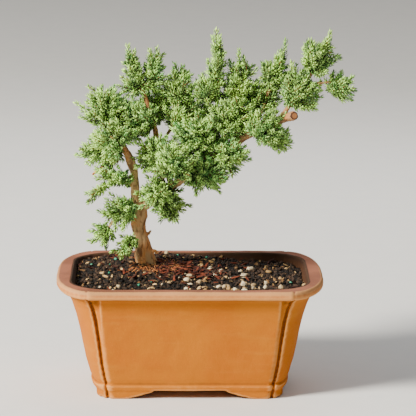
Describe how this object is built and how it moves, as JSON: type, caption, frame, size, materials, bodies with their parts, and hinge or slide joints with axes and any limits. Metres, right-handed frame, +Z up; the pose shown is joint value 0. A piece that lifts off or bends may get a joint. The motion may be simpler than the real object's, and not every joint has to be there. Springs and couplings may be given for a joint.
{
  "type": "bonsai tree",
  "caption": "Miniature juniper bonsai with an S-curved trunk and a long right-hand branch, planted in a rectangular unglazed clay pot with cloud feet.",
  "frame": {"origin": "on the table under the middle of the whole object's bounding box; the pot's own centre is 12 mm to the left of it", "axes": "+Z up, -Y towards the viewer (the pot's long front side), +X towards the long branch"},
  "size_m": [0.2276, 0.152, 0.275],
  "materials": {
    "clay": "matte",
    "mesh_plastic": "matte",
    "soil_mix": "matte",
    "pumice": "matte",
    "bark_chip": "matte",
    "root_bark": "matte",
    "bark": "matte",
    "dead_wood": "matte",
    "needles": "satin"
  },
  "bodies": {
    "root": {"pot": "clay", "drain_screen_left": "mesh_plastic", "drain_screen_right": "mesh_plastic", "trunk": "bark", "root_right": "root_bark", "root_front": "root_bark", "limb_right": "bark", "leader": "bark", "branch_left": "bark", "branch_sprig": "bark", "branch_low": "bark", "dead_twig": "dead_wood", "branch_apex": "bark", "branch_spire": "bark", "branch_upper_right": "bark", "branch_sprigs": "bark", "branch_far": "bark", "branch_tip": "bark", "branch_back": "bark", "branch_front": "bark", "stone_front_left": "pumice", "stone_middle": "pumice", "stone_front": "pumice", "stone_right": "pumice", "bark_chip_middle": "bark_chip", "soil": "soil_mix", "foliage_left_upper": "needles", "foliage_left_middle": "needles", "foliage_left_lower": "needles", "foliage_left_sprig": "needles", "foliage_low_left": "needles", "foliage_low_left_tip": "needles", "foliage_drooping": "needles", "foliage_top_left": "needles", "foliage_top_inner": "needles", "foliage_centre_left": "needles", "foliage_centre_top": "needles", "foliage_centre_upper": "needles", "foliage_centre": "needles", "foliage_centre_right": "needles", "foliage_low_centre": "needles", "foliage_low_tip": "needles", "foliage_low_right": "needles", "foliage_spire": "needles", "foliage_upper_right": "needles", "foliage_right": "needles", "foliage_right_edge": "needles", "foliage_right_back": "needles", "foliage_right_sprigs": "needles", "foliage_right_lower": "needles", "foliage_hanging": "needles", "foliage_far_right": "needles", "foliage_crown_right": "needles", "foliage_far_tip": "needles", "foliage_centre_ridge": "needles", "foliage_back_apex": "needles", "foliage_back_left": "needles", "foliage_back_centre": "needles", "foliage_front_left": "needles", "foliage_front_centre": "needles"}
  },
  "joints": []
}
